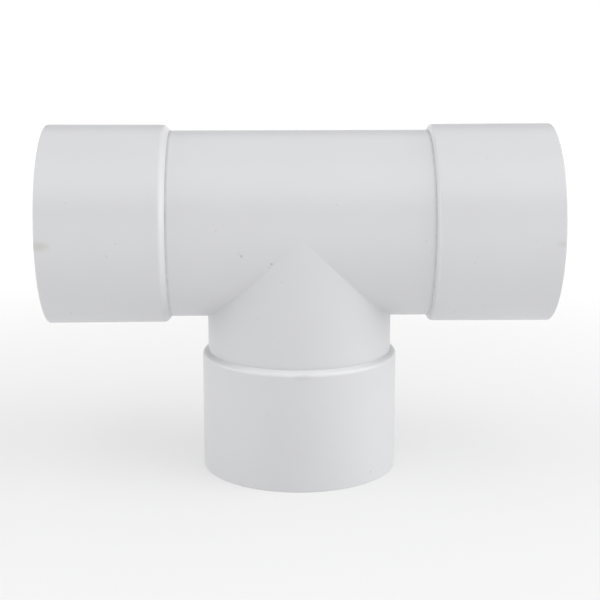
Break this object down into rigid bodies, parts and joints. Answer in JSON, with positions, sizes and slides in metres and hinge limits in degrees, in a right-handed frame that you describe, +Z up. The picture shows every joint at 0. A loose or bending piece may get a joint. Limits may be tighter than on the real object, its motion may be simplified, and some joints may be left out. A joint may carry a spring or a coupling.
{
  "type": "pipe tee fitting",
  "caption": "Equal 90 degree tee for solvent-weld waste pipe, white plastic, a stepped socket on each mouth and crisp mitre lines where branch and run meet.",
  "frame": {"origin": "centre of the branch socket's mouth, at the bottom, directly under the middle of the run; the tee stands on this mouth", "axes": "+X along the run, out of the right-hand socket; +Y away from the viewer, square to the plane of the tee; +Z up, from the branch mouth towards the run. The branch leaves along -Z."},
  "size_m": [0.1216, 0.048, 0.0848],
  "materials": {
    "white_upvc": "satin moulded surface, very slightly cool white"
  },
  "bodies": {
    "root": {"run_barrel": "white_upvc", "branch_barrel": "white_upvc", "left_socket": "white_upvc", "right_socket": "white_upvc", "branch_socket": "white_upvc"}
  },
  "joints": []
}
